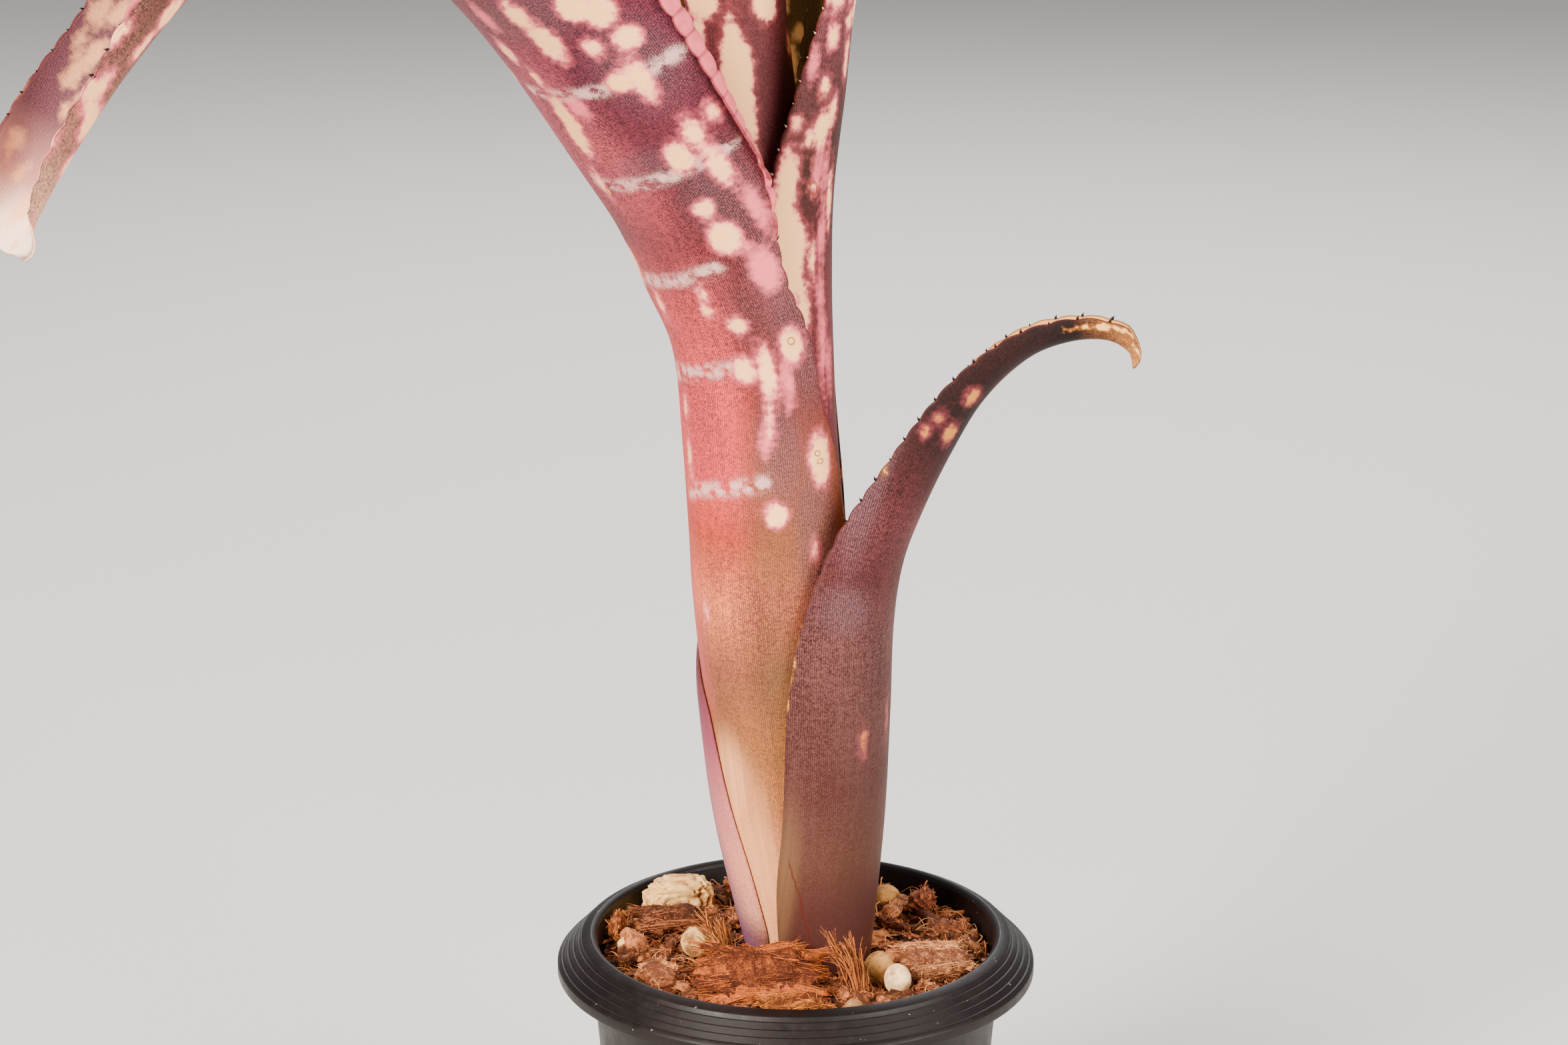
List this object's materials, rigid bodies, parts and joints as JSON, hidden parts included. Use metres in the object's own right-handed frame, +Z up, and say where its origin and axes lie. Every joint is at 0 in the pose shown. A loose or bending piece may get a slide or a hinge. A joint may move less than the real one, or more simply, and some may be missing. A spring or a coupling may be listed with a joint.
{
  "type": "potted bromeliad",
  "caption": "Potted tube-forming bromeliad: spotted, toothed strap leaves rolled into a leaning tube, in a ribbed-lip nursery pot of husk and pumice mix.",
  "frame": {"origin": "middle of the pot's flat underside", "axes": "+Z up the plant, its longest extent; -Y is the front that the picture shows; +X is the picture's right"},
  "size_m": [0.1882, 0.1708, 0.3065],
  "materials": {
    "pot_plastic": "satin black, a little dusty",
    "husk_mix": "dry coconut husk crumbs",
    "husk_chip": "dry fibrous coconut husk",
    "husk_fibre": "loose dry fibre",
    "pumice": "rough porous pumice",
    "pebble": "matt rounded pebble",
    "stem_wood": "dull woody stock",
    "leaf": "tough maroon leaf with cream blotches and silver scurf"
  },
  "bodies": {
    "root": {"pot": "pot_plastic", "potting_mix": "husk_mix", "stem": "stem_wood", "chip_front": "husk_chip", "chip_front_low": "husk_chip", "chip_left_front": "husk_chip", "chip_left": "husk_chip", "chip_left_edge": "husk_chip", "chip_right": "husk_chip", "chip_right_back": "husk_chip", "chip_right_far": "husk_chip", "stick_left": "husk_chip", "stick_right": "husk_chip", "strip_right": "husk_chip", "tuft_front": "husk_fibre", "tuft_left": "husk_fibre", "pumice_large": "pumice", "pebble_brown": "pebble", "pebble_left": "pebble", "pebble_olive": "pebble", "pebble_white": "pebble", "pebble_small": "pebble", "pebble_yellow": "pebble", "leaf_front": "leaf", "leaf_right": "leaf", "leaf_centre": "leaf", "leaf_back": "leaf", "leaf_heart": "leaf", "leaf_outer": "leaf"}
  },
  "joints": []
}
